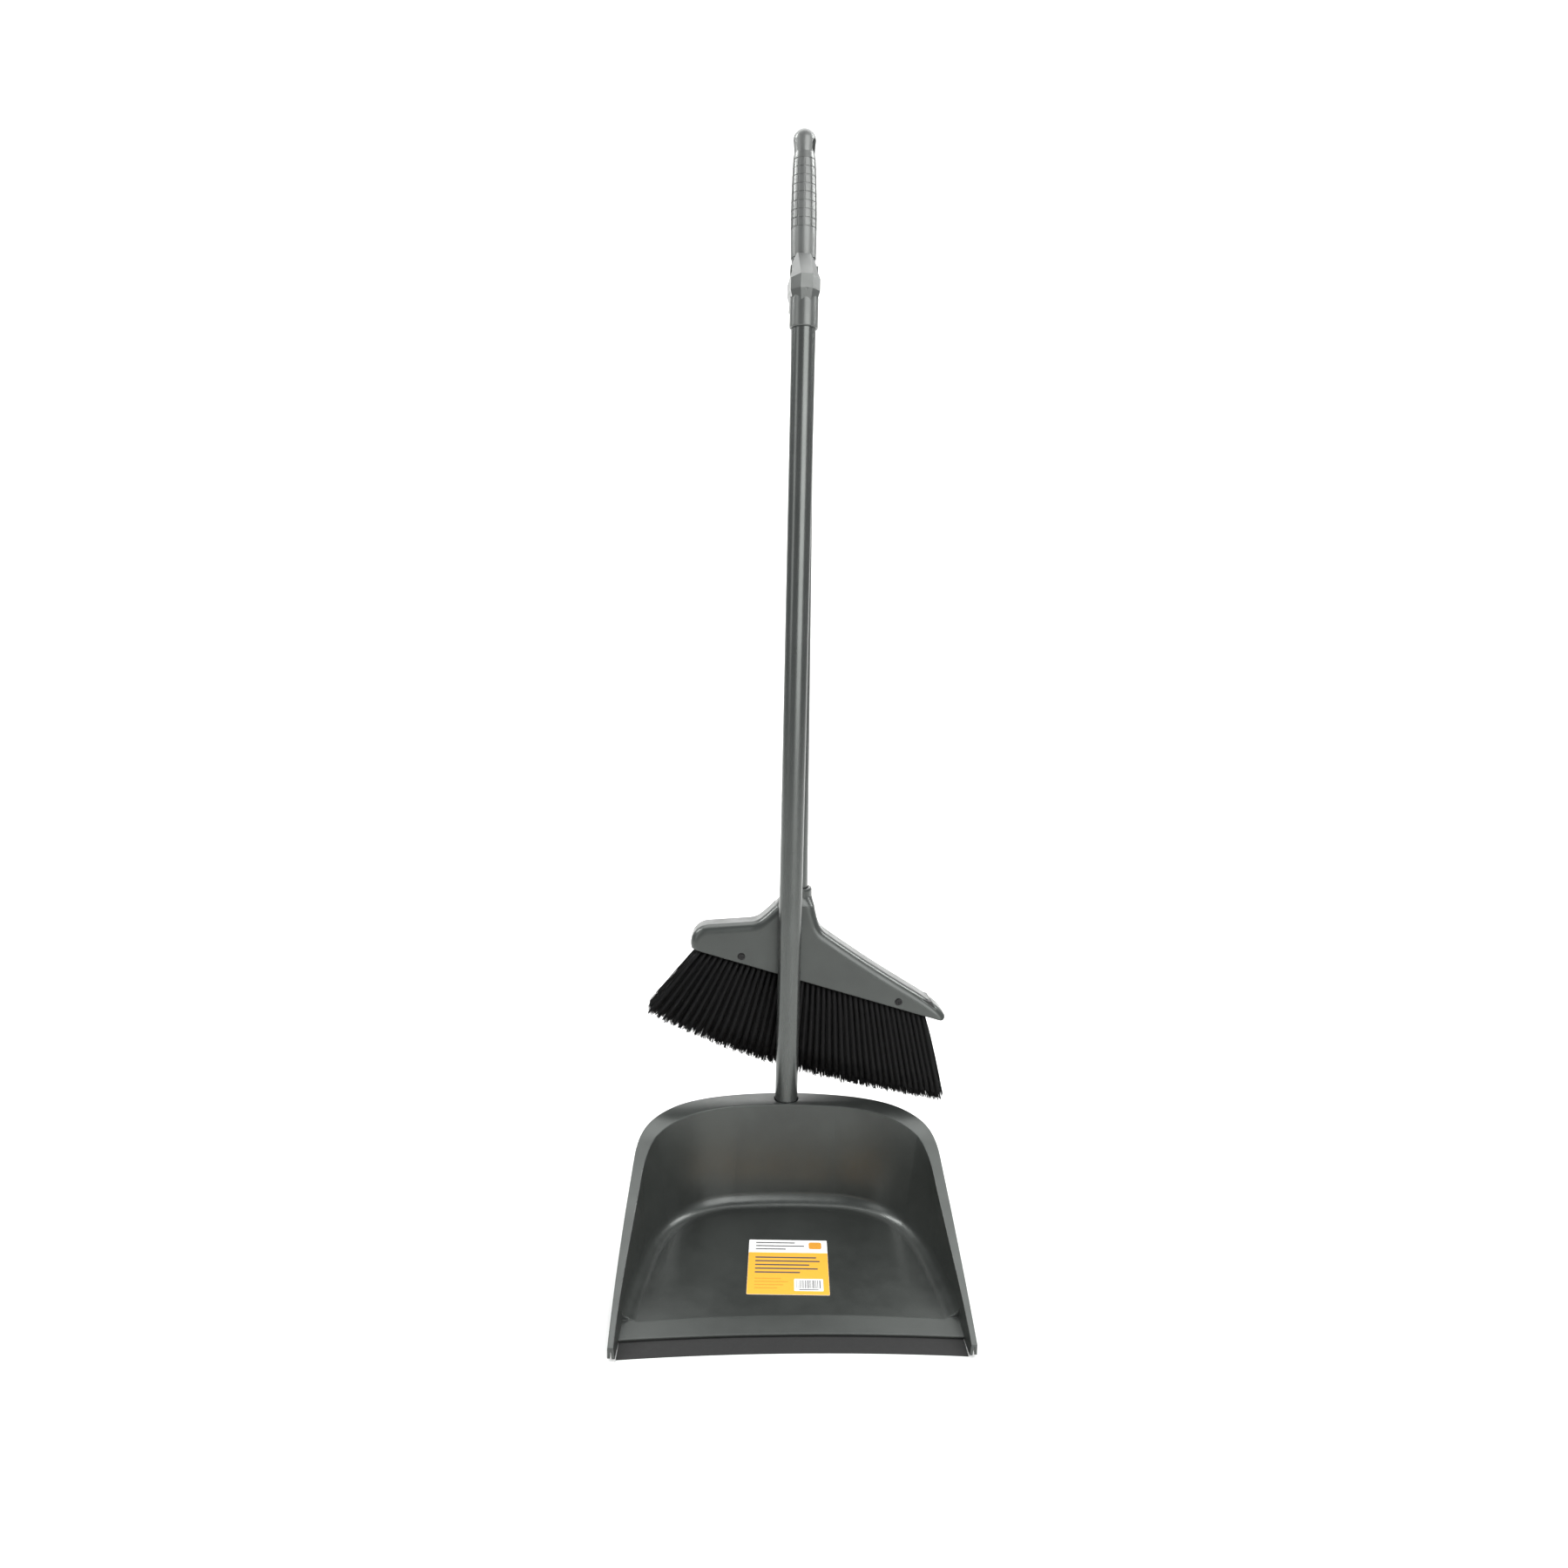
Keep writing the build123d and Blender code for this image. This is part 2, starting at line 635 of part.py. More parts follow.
def grip_grooves():
    """The grid cut into the barrel: rings and lengthwise grooves, all of one depth."""
    reach = 2 * TUBE_RADIUS
    with BuildPart() as around:
        with BuildSketch(brush_fore_and_aft):
            with BuildLine():
                grip_barrel(GROOVE_DEPTH)
                Polyline(
                    (GRIP_WAIST[0] - GROOVE_DEPTH, GRIP_WAIST[1]),
                    (reach, GRIP_WAIST[1]),
                    (reach, GRIP_FOOT[1]),
                    (GRIP_FOOT[0] - GROOVE_DEPTH, GRIP_FOOT[1]),
                )
            make_face()
        revolve(axis=Axis(brush_frame.origin, brush_frame.z_dir))
    with BuildPart() as grid:
        with BuildSketch(brush_level(GRID_BOTTOM - GROOVE_WIDTH / 2)):
            with PolarLocations(0, GRID_COLUMNS // 2, angular_range=180):
                Rectangle(2 * reach, GROOVE_WIDTH)
        extrude(amount=GRID_ROWS * GRID_PITCH + GROOVE_WIDTH)
        for row in range(GRID_ROWS + 1):
            with BuildSketch(brush_level(GRID_BOTTOM + row * GRID_PITCH - GROOVE_WIDTH / 2)):
                Circle(reach)
            extrude(amount=GROOVE_WIDTH)
    return around.part & grid.part


def make_grip():
    """Grip over the tube's top: smooth foot, grid of raised pads, neck and slotted cap."""
    grooves = grip_grooves()
    turned = direction(HANG_SLOT_TURN)
    through = brush_frame.x_dir * turned[0] + brush_frame.y_dir * turned[1]
    slot_side = Plane(
        origin=brush_frame.origin, x_dir=brush_frame.z_dir.cross(through), z_dir=through
    )
    top = GRIP_CAP[0] + GRIP_CAP[1]
    with BuildPart() as grip:
        with BuildSketch(brush_fore_and_aft):
            with BuildLine():
                Line((0, GRIP_FOOT[1]), GRIP_FOOT)
                grip_barrel()
                Polyline(GRIP_WAIST, GRIP_NECK, GRIP_CAP)
                TangentArc(GRIP_CAP, (0, top), tangent=(0, 1))
                Line((0, top), (0, GRIP_FOOT[1]))
            make_face()
        revolve(axis=Axis(brush_frame.origin, brush_frame.z_dir))
        add(grooves, mode=Mode.SUBTRACT)
        with BuildSketch(slot_side.offset(-FAR)):
            with Locations((0, HANG_SLOT_CENTRE)):
                SlotOverall(HANG_SLOT_HEIGHT, HANG_SLOT_WIDTH, rotation=90)
        extrude(amount=2 * FAR, mode=Mode.SUBTRACT)
        with BuildSketch(brush_level(GRIP_FOOT[1])):
            Circle(TUBE_RADIUS + FIT)
        extrude(amount=BRUSH_TUBE_TOP - GRIP_FOOT[1], mode=Mode.SUBTRACT)
    return grip.part


# ---------------------------------------------------------------- brush head


def lower_edge(along, up=0.0):
    """Point in the head's side view: a distance along its straight lower edge, and up from it."""
    run = HEAD_RIGHT[0] - HEAD_LEFT[0]
    rise = HEAD_RIGHT[1] - HEAD_LEFT[1]
    length = math.hypot(run, rise)
    return (
        HEAD_LEFT[0] + along * run / length - up * rise / length,
        HEAD_LEFT[1] + along * rise / length + up * run / length,
    )


def head_sketch(grow=0.0):
    """Side view of the head; its neck runs up past the socket's top."""
    with BuildSketch() as view:
        with BuildLine():
            Line(HEAD_RIGHT, HEAD_LEFT)
            TangentArc(HEAD_LEFT, HEAD_END, tangent=direction(HEAD_END_START))
            Line(HEAD_END, HEAD_CREST[0])
            angle = end_angle(HEAD_LEFT, HEAD_END, HEAD_END_START)
            for start, end in zip(HEAD_CREST, HEAD_CREST[1:]):
                TangentArc(start, end, tangent=direction(angle))
                angle = end_angle(start, end, angle)
            Line(HEAD_CREST[-1], (HEAD_CREST[-1][0], HEAD_NECK_TOP))
            Line((HEAD_CREST[-1][0], HEAD_NECK_TOP), (HEAD_SLOPE[0][0], HEAD_NECK_TOP))
            Line((HEAD_SLOPE[0][0], HEAD_NECK_TOP), HEAD_SLOPE[0])
            angle = HEAD_SLOPE_START
            for start, end in zip(HEAD_SLOPE, HEAD_SLOPE[1:]):
                TangentArc(start, end, tangent=direction(angle))
                angle = end_angle(start, end, angle)
        make_face()
        if grow:
            offset(amount=grow, kind=Kind.INTERSECTION)
    return view.sketch


def head_form(half_depth, grow, crest_radius):
    """The head's flattened body with its rounded crest, up to where the neck begins."""
    view = head_sketch(grow)
    with BuildPart() as form:
        with BuildSketch(brush_side(half_depth)):
            add(view)
        extrude(amount=2 * half_depth)
        sides = form.faces().sort_by(Axis.Y)
        rims = sides[0].edges() + sides[-1].edges()
        fillet(rims.filter_by(is_crest), radius=crest_radius)
        with BuildSketch(brush_level(HEAD_NECK_BASE)):
            Rectangle(FAR, FAR)
        extrude(amount=FAR, mode=Mode.SUBTRACT)
    return form.part


def is_crest(edge):
    """True for the edges that follow the head's outline, apart from its lower edge and neck's end."""
    middle = brush_frame.to_local_coords(edge.center())
    across = abs(middle.Z - HEAD_NECK_TOP) < 5
    along_low = abs(middle.Z - (HEAD_LEFT[1] + HEAD_RIGHT[1]) / 2) < 5 and edge.length > 150
    return not across and not along_low


def lower_frame(up=0.0):
    """Plane along the head's lower edge, raised by up: local x along it, local y to the back."""
    side = brush_side()
    start = side.from_local_coords((*lower_edge(0, up), 0))
    end = side.from_local_coords((*lower_edge(1, up), 0))
    above = side.from_local_coords((*lower_edge(0, up + 1), 0))
    return Plane(origin=start, x_dir=end - start, z_dir=above - start)


def lower_length():
    return math.hypot(HEAD_RIGHT[0] - HEAD_LEFT[0], HEAD_RIGHT[1] - HEAD_LEFT[1])


def block_sketch(end_gap, up_low, up_high):
    """Side view of the space above the head's lower edge that the bristle block fills."""
    with BuildSketch() as view:
        with BuildLine():
            Polyline(
                lower_edge(end_gap, up_low),
                lower_edge(lower_length() - end_gap - BLOCK_END_SLANT * up_low, up_low),
                lower_edge(lower_length() - end_gap - BLOCK_END_SLANT * up_high, up_high),
                lower_edge(end_gap, up_high),
                close=True,
            )
        make_face()
    return view.sketch


def toe_sketch():
    """Side view of what is cut from the head's lower right corner to round it."""
    rise = direction(HEAD_TOE_ANGLE)
    lower = math.atan2(HEAD_LEFT[1] - HEAD_RIGHT[1], HEAD_LEFT[0] - HEAD_RIGHT[0])
    reach = HEAD_TOE_RADIUS / math.tan((lower - math.radians(HEAD_TOE_ANGLE)) / 2)
    high = (HEAD_RIGHT[0] + reach * rise[0], HEAD_RIGHT[1] + reach * rise[1])
    low = lower_edge(lower_length() - reach)
    past = (HEAD_RIGHT[0] + HEAD_TOE_RADIUS, HEAD_RIGHT[1] - HEAD_TOE_RADIUS)
    with BuildSketch() as view:
        with BuildLine():
            Polyline(low, past, high)
            TangentArc(high, low, tangent=(-rise[0], -rise[1]))
        make_face()
    return view.sketch


def screw_places(offset):
    """Centres of the two screws' axes on the plane this far in front of the brush's axis."""
    side = brush_side(-offset)
    return [
        Plane(origin=side.from_local_coords((*lower_edge(along, SCREW_UP), 0)), z_dir=side.z_dir)
        for along in SCREW_ALONG
    ]


def make_head_shell():
    outer = head_form(HEAD_HALF_DEPTH, 0, HEAD_CREST_RADIUS)
    inner = head_form(HEAD_HALF_DEPTH - HEAD_WALL, -HEAD_WALL, HEAD_INNER_RADIUS)
    block_room = block_sketch(BLOCK_END_GAP - BLOCK_SIDE_GAP, -BLOCK_RECESS, BLOCK_RECESS + BLOCK_HEIGHT)
    toe = toe_sketch()
    stub_bottom = BRUSH_TUBE_BOTTOM - FERRULE_COLLAR - FERRULE_STUB - 1
    with BuildPart() as core:
        with BuildSketch(brush_level(SOCKET_TOP - SOCKET_DEPTH - SOCKET_FLOOR)):
            Circle(SOCKET_CORE_RADIUS)
        extrude(amount=SOCKET_DEPTH)
    hollow = inner - core.part
    with BuildPart() as head_shell:
        add(outer)
        with BuildSketch(brush_level(HEAD_NECK_BASE)):
            with Locations((HEAD_NECK_SHIFT, 0)):
                RectangleRounded(HEAD_NECK_WIDTH, 2 * HEAD_NECK_DEPTH, radius=HEAD_CREST_RADIUS)
        with BuildSketch(brush_level(SOCKET_ROOT)):
            Circle(SOCKET_RADIUS)
        loft()
        with BuildSketch(brush_level(SOCKET_ROOT)):
            Circle(SOCKET_RADIUS)
        extrude(amount=SOCKET_TOP - SOCKET_BEVEL - SOCKET_ROOT)
        with BuildSketch(brush_level(SOCKET_TOP - SOCKET_BEVEL)):
            Circle(SOCKET_RADIUS)
        extrude(amount=SOCKET_BEVEL, taper=SOCKET_BEVEL_ANGLE)
        with BuildSketch(brush_side(HEAD_HALF_DEPTH)):
            add(toe)
        extrude(amount=2 * HEAD_HALF_DEPTH, mode=Mode.SUBTRACT)
        add(hollow, mode=Mode.SUBTRACT)
        with BuildSketch(brush_side(HEAD_HALF_DEPTH - HEAD_WALL)):
            add(block_room)
        extrude(amount=2 * (HEAD_HALF_DEPTH - HEAD_WALL), mode=Mode.SUBTRACT)
        with BuildSketch(brush_level(SOCKET_TOP)):
            Circle(SOCKET_MOUTH)
        extrude(amount=-SOCKET_MOUTH_DEPTH, mode=Mode.SUBTRACT)
        with BuildSketch(brush_level(SOCKET_TOP)):
            Circle(TUBE_RADIUS + FIT)
        extrude(amount=BRUSH_TUBE_BOTTOM - FERRULE_COLLAR - SOCKET_TOP, mode=Mode.SUBTRACT)
        with BuildSketch(brush_level(SOCKET_TOP)):
            Circle(FERRULE_STUB_RADIUS + THREAD_DEPTH + FIT)
        extrude(amount=stub_bottom - SOCKET_TOP, mode=Mode.SUBTRACT)
        for place in screw_places(HEAD_HALF_DEPTH):
            with BuildSketch(place):
                Circle(SCREW_SHANK_RADIUS + FIT)
            extrude(amount=-HEAD_WALL - 1, mode=Mode.SUBTRACT)
    return head_shell.part


def tuft_grid():
    """Places of the tufts on the block's underside, in the lower frame."""
    pitch = (lower_length() - TUFT_FIRST - TUFT_LAST) / (TUFT_COLUMNS - 1)
    return [TUFT_FIRST + pitch * column for column in range(TUFT_COLUMNS)]


def row_offset(row):
    """Distance of a row of tufts behind the head's middle."""
    return (row - (TUFT_ROWS - 1) / 2) * TUFT_ROW_PITCH


def make_bristle_block():
    half = HEAD_HALF_DEPTH - HEAD_WALL - BLOCK_SIDE_GAP
    view = block_sketch(BLOCK_END_GAP, BLOCK_RECESS, BLOCK_RECESS + BLOCK_HEIGHT)
    with BuildPart() as bristle_block:
        with BuildSketch(brush_side(half)):
            add(view)
        extrude(amount=2 * half)
        for row in range(TUFT_ROWS):
            with BuildSketch(lower_frame(BLOCK_RECESS)):
                with Locations([(x, row_offset(row)) for x in tuft_grid()]):
                    Circle(TUFT_RADIUS)
            extrude(amount=TUFT_DEPTH + ANCHOR_HEIGHT, mode=Mode.SUBTRACT)
        for place in screw_places(half):
            with BuildSketch(place):
                Circle(SCREW_SHANK_RADIUS)
            extrude(amount=-SCREW_BITE, mode=Mode.SUBTRACT)
    return bristle_block.part


def make_tuft_anchors():
    """Flat staples that hold each tuft at the bottom of its hole."""
    with BuildPart() as tuft_anchors:
        for row in range(TUFT_ROWS):
            with BuildSketch(lower_frame(BLOCK_RECESS + TUFT_DEPTH)):
                with Locations([(x, row_offset(row)) for x in tuft_grid()]):
                    Rectangle(ANCHOR_SIZE[0], ANCHOR_SIZE[1])
            extrude(amount=ANCHOR_HEIGHT)
    return tuft_anchors.part


def bristle_fan():
    """A row's outline on its own plane: ends of its straight roots, and a bowed line of tips."""
    tips = []
    roots = (FAN_ENDS[0], lower_length() - FAN_ENDS[1])
    fall = math.atan2(HEAD_LEFT[1] - HEAD_RIGHT[1], HEAD_RIGHT[0] - HEAD_LEFT[0])
    for step in range(FAN_STEPS + 1):
        share = step / FAN_STEPS
        lean = BRISTLE_LEAN_LEFT + (BRISTLE_LEAN_RIGHT - BRISTLE_LEAN_LEFT) * (1 - (1 - share) ** 2)
        length = BRISTLE_LENGTH + BRISTLE_GAIN * share + BRISTLE_BOW * math.sin(math.pi * share)
        turn = math.radians(lean) + fall
        root = roots[0] + share * (roots[1] - roots[0])
        tips.append((root + length * math.sin(turn), -length * math.cos(turn)))
    return roots, tips


def make_bristle_row(row):
    """One row of bristles: its tufts' folded roots in the block, and the fan they open into."""
    roots, tips = bristle_fan()
    base = lower_frame(BLOCK_RECESS)
    splay = math.radians(BRISTLE_SPLAY * row_offset(row) / row_offset(TUFT_ROWS - 1))
    row_origin = base.from_local_coords((0, row_offset(row), 0))
    up = base.z_dir * math.cos(splay) - base.y_dir * math.sin(splay)
    fan_plane = Plane(origin=row_origin, x_dir=base.x_dir, z_dir=base.x_dir.cross(up))
    with BuildPart() as bristle_row:
        with BuildSketch(fan_plane):
            with BuildLine():
                Line((roots[1], 0), (roots[0], 0))
                Line((roots[0], 0), tips[0])
                Spline(tips)
                Line(tips[-1], (roots[1], 0))
            make_face()
        extrude(amount=BRISTLE_ROW_THICKNESS / 2, both=True)
        with BuildSketch(base):
            Rectangle(4 * FAR, 4 * FAR)
        extrude(amount=FAR, mode=Mode.SUBTRACT)
        with BuildSketch(base):
            with Locations([(x, row_offset(row)) for x in tuft_grid()]):
                Circle(TUFT_RADIUS)
        extrude(amount=TUFT_DEPTH)
    return bristle_row.part


def make_head_screws():
    with BuildPart() as head_screws:
        for place in screw_places(HEAD_HALF_DEPTH):
            with BuildSketch(place):
                Circle(SCREW_HEAD_RADIUS)
            extrude(amount=SCREW_HEAD_HEIGHT, taper=SCREW_HEAD_TAPER)
            with BuildSketch(place):
                Circle(SCREW_SHANK_RADIUS)
            extrude(amount=-HEAD_WALL - BLOCK_SIDE_GAP - SCREW_BITE)
            with BuildSketch(place.offset(SCREW_HEAD_HEIGHT)):
                Rectangle(SCREW_RECESS, SCREW_RECESS_WIDTH)
                Rectangle(SCREW_RECESS_WIDTH, SCREW_RECESS)
            extrude(amount=-SCREW_HEAD_HEIGHT / 2, mode=Mode.SUBTRACT)
    return head_screws.part


# ---------------------------------------------------------------- all pieces

pieces = {
    "pan_shell": make_pan_shell(),
    "lip_rubber": make_lip_rubber(),
    "lip_edge": make_lip_edge(),
    "label": make_label(),
    "pan_tube": make_tube(Plane.XY, PAN_TUBE_BOTTOM, PAN_TUBE_TOP),
    "pan_tube_ferrule": make_ferrule(Plane.XY, PAN_TUBE_BOTTOM),
    "clip": make_clip(),
    "brush_tube": make_tube(brush_frame, BRUSH_TUBE_BOTTOM, BRUSH_TUBE_TOP),
    "brush_tube_ferrule": make_ferrule(brush_frame, BRUSH_TUBE_BOTTOM),
    "grip": make_grip(),
    "head_shell": make_head_shell(),
    "head_screws": make_head_screws(),
    "bristle_block": make_bristle_block(),
    "tuft_anchors": make_tuft_anchors(),
}
for row in range(TUFT_ROWS):
    pieces[f"bristle_row_{row + 1}"] = make_bristle_row(row)

os.makedirs("parts", exist_ok=True)
for name, piece in pieces.items():
    piece.label = name
    export_step(piece, f"parts/{name}.step")
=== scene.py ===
"""Looks of a long-handled dust pan and its brush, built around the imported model, in metres."""

import math
import random

import bpy
from mathutils import Matrix, Vector


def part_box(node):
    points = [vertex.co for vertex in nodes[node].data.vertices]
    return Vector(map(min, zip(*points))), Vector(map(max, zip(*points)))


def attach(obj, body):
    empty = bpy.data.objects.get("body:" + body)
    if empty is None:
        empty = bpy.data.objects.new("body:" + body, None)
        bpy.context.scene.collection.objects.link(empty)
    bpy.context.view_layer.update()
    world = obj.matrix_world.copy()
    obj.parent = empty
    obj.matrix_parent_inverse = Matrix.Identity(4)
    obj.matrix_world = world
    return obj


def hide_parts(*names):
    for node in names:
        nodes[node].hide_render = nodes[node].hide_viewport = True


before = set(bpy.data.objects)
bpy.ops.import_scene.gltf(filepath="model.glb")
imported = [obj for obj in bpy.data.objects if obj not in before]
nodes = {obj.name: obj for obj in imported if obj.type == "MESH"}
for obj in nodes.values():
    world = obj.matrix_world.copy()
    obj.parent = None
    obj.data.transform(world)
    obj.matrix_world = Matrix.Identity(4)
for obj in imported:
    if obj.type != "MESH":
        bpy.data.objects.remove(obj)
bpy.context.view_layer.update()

MM = 0.001
PAN = "dust_pan"
BRUSH = "brush"


# ---------------------------------------------------------------- camera

IMAGE_SIDE = 1800.0
FOCAL = 1252.3  # in pixels of an image of that side
PRINCIPAL = (921.2, 913.7)
CAMERA_PLACE = Vector((-43.15, -975.92, 531.22)) * MM
CAMERA_PITCH = math.radians(7.92)  # down
CAMERA_YAW = math.radians(-3.03)
CAMERA_ROLL = math.radians(-1.36)


def make_camera():
    pitch, yaw, roll = CAMERA_PITCH, CAMERA_YAW, CAMERA_ROLL
    forward = Vector(
        (-math.sin(yaw) * math.cos(pitch), math.cos(yaw) * math.cos(pitch), -math.sin(pitch))
    )
    level = Vector((math.cos(yaw), math.sin(yaw), 0))
    down = forward.cross(level)
    right = math.cos(roll) * level + math.sin(roll) * down
    down = math.cos(roll) * down - math.sin(roll) * level
    data = bpy.data.cameras.new("camera")
    data.sensor_width = 36.0
    data.lens = data.sensor_width * FOCAL / IMAGE_SIDE
    data.shift_x = (IMAGE_SIDE / 2 - PRINCIPAL[0]) / IMAGE_SIDE
    data.shift_y = (PRINCIPAL[1] - IMAGE_SIDE / 2) / IMAGE_SIDE
    camera = bpy.data.objects.new("camera", data)
    bpy.context.scene.collection.objects.link(camera)
    turn = Matrix((right, -down, -forward)).transposed().to_4x4()
    camera.matrix_world = Matrix.Translation(CAMERA_PLACE) @ turn
    bpy.context.scene.camera = camera


# ---------------------------------------------------------------- studio

def make_floor():
    """Pale sweep: level under the object, curving up far behind it."""
    half_width = 6.0
    front, bend, radius, top = -5.0, 2.5, 1.6, 5.0
    profile = [(front, 0.0), (bend, 0.0)]
    for step in range(1, 17):
        angle = math.radians(90 * step / 16)
        profile.append((bend + radius * math.sin(angle), radius - radius * math.cos(angle)))
    profile.append((bend + radius, top))
    verts = [(side * half_width, y, z) for y, z in profile for side in (-1, 1)]
    faces = [(2 * i, 2 * i + 1, 2 * i + 3, 2 * i + 2) for i in range(len(profile) - 1)]
    mesh = bpy.data.meshes.new("floor")
    mesh.from_pydata(verts, [], faces)
    mesh.shade_smooth()
    floor = bpy.data.objects.new("floor", mesh)
    bpy.context.scene.collection.objects.link(floor)
    material = bpy.data.materials.new("floor_paint")
    material.use_nodes = True
    shader = material.node_tree.nodes["Principled BSDF"]
    shader.inputs["Base Color"].default_value = (0.86, 0.86, 0.85, 1)
    shader.inputs["Roughness"].default_value = 0.85
    shader.inputs["Specular IOR Level"].default_value = 0.1
    mesh.materials.append(material)


def make_area_light(name, place, aim, size, power, colour=(1, 1, 1)):
    data = bpy.data.lights.new(name, "AREA")
    data.shape = "RECTANGLE"
    data.size, data.size_y = size
    data.energy = power
    data.color = colour
    light = bpy.data.objects.new(name, data)
    bpy.context.scene.collection.objects.link(light)
    light.location = place
    light.rotation_euler = (Vector(aim) - Vector(place)).to_track_quat("-Z", "Y").to_euler()


def make_studio():
    make_floor()
    world = bpy.data.worlds.new("world")
    bpy.context.scene.world = world
    world.use_nodes = True
    background = world.node_tree.nodes["Background"]
    background.inputs["Color"].default_value = (0.93, 0.96, 1.0, 1)
    background.inputs["Strength"].default_value = 0.36
    make_area_light("key", (1.0, -2.0, 1.3), (0, 0, 0.5), (1.8, 2.2), 62)
    make_area_light("fill", (-2.4, -1.4, 1.4), (0, 0, 0.5), (0.8, 2.0), 14)
    make_area_light("top", (0, 0.8, 3.0), (0, 0.4, 0), (3.0, 2.4), 75)
    make_area_light("backdrop_left", (-2.6, 0.6, 2.6), (0, 4.2, 1.6), (1.6, 1.6), 150)
    make_area_light("backdrop_right", (2.6, 0.6, 2.6), (0, 4.2, 1.6), (1.6, 1.6), 150)
    bpy.context.scene.view_settings.view_transform = "Standard"


# ---------------------------------------------------------------- material helpers

def new_material(name):
    material = bpy.data.materials.new(name)
    material.use_nodes = True
    return material, material.node_tree, material.node_tree.nodes["Principled BSDF"]


def add_node(tree, kind, inputs=None, **settings):
    node = tree.nodes.new(kind)
    for key, value in settings.items():
        setattr(node, key, value)
    for key, value in (inputs or {}).items():
        if hasattr(value, "is_output"):
            tree.links.new(value, node.inputs[key])
        else:
            node.inputs[key].default_value = value
    return node


def noise(tree, vector, scale, detail=3.0, roughness=0.5):
    return add_node(
        tree,
        "ShaderNodeTexNoise",
        {"Vector": vector, "Scale": scale, "Detail": detail, "Roughness": roughness},
    ).outputs["Fac"]


def mapped(tree, value, low, high, to_low, to_high):
    return add_node(
        tree,
        "ShaderNodeMapRange",
        {"Value": value, "From Min": low, "From Max": high, "To Min": to_low, "To Max": to_high},
    ).outputs["Result"]


def mix_colours(tree, factor, first, second):
    node = add_node(tree, "ShaderNodeMix", {"Factor": factor}, data_type="RGBA")
    for socket, colour in ((6, first), (7, second)):
        if hasattr(colour, "is_output"):
            tree.links.new(colour, node.inputs[socket])
        else:
            node.inputs[socket].default_value = (*colour, 1)
    return node.outputs[2]


def object_coordinates(tree):
    return add_node(tree, "ShaderNodeTexCoord").outputs["Object"]


def bump(tree, height, strength, distance, normal=None):
    inputs = {"Height": height, "Strength": strength, "Distance": distance}
    if normal is not None:
        inputs["Normal"] = normal
    return add_node(tree, "ShaderNodeBump", inputs).outputs["Normal"]


# ---------------------------------------------------------------- materials

def silver_plastic(name, dark, light, roughness, bevel):
    """Grey moulding compound with fine metal flake, slightly cloudy and with soft corners."""
    material, tree, shader = new_material(name)
    place = object_coordinates(tree)
    cloud = noise(tree, place, 14.0, 4.0)
    flake = noise(tree, place, 5200.0, 1.0)
    flow = noise(tree, place, 70.0, 3.0)
    base = mix_colours(tree, mapped(tree, cloud, 0.35, 0.65, 0.0, 1.0), dark, light)
    bright = tuple(min(1.0, channel * 1.5) for channel in light)
    flaked = mix_colours(tree, mapped(tree, flake, 0.55, 0.8, 0.0, 0.3), base, bright)
    tree.links.new(flaked, shader.inputs["Base Color"])
    shader.inputs["Metallic"].default_value = 0.55
    rough = mapped(tree, flow, 0.3, 0.7, roughness - 0.05, roughness + 0.06)
    tree.links.new(rough, shader.inputs["Roughness"])
    shader.inputs["Coat Weight"].default_value = 0.25
    shader.inputs["Coat Roughness"].default_value = 0.22
    corners = add_node(tree, "ShaderNodeBevel", {"Radius": bevel}, samples=6).outputs["Normal"]
    rippled = bump(tree, flow, 0.12, 0.0004, corners)
    tree.links.new(bump(tree, flake, 0.05, 0.00005, rippled), shader.inputs["Normal"])
    return material


def silver_tube():
    """Silver enamel on thin steel tube, drawn lengthwise, with faint rubbed bands."""
    material, tree, shader = new_material("silver_tube")
    place = object_coordinates(tree)
    lengthwise = add_node(tree, "ShaderNodeMapping", {"Vector": place, "Scale": (1, 1, 0.02)})
    drawn = noise(tree, lengthwise.outputs["Vector"], 900.0, 3.0)
    flake = noise(tree, place, 5200.0, 1.0)
    patch = noise(tree, place, 22.0, 3.0)
    tone = mix_colours(
        tree, mapped(tree, patch, 0.35, 0.65, 0.0, 1.0), (0.078, 0.083, 0.079), (0.088, 0.093, 0.089)
    )
    base = mix_colours(tree, mapped(tree, flake, 0.55, 0.8, 0.0, 0.3), tone, (0.26, 0.27, 0.26))
    tree.links.new(base, shader.inputs["Base Color"])
    shader.inputs["Metallic"].default_value = 0.75
    tree.links.new(mapped(tree, drawn, 0.3, 0.7, 0.25, 0.28), shader.inputs["Roughness"])
    tree.links.new(bump(tree, drawn, 0.02, 0.00003), shader.inputs["Normal"])
    return material


def soft_rubber(name, dark, light, roughness):
    material, tree, shader = new_material(name)
    place = object_coordinates(tree)
    dust = noise(tree, place, 160.0, 5.0, 0.6)
    grain = noise(tree, place, 1800.0, 2.0)
    base = mix_colours(tree, mapped(tree, dust, 0.4, 0.75, 0.0, 1.0), dark, light)
    tree.links.new(base, shader.inputs["Base Color"])
    tree.links.new(
        mapped(tree, dust, 0.3, 0.7, roughness - 0.06, roughness + 0.08), shader.inputs["Roughness"]
    )
    tree.links.new(bump(tree, grain, 0.12, 0.0001), shader.inputs["Normal"])
    return material


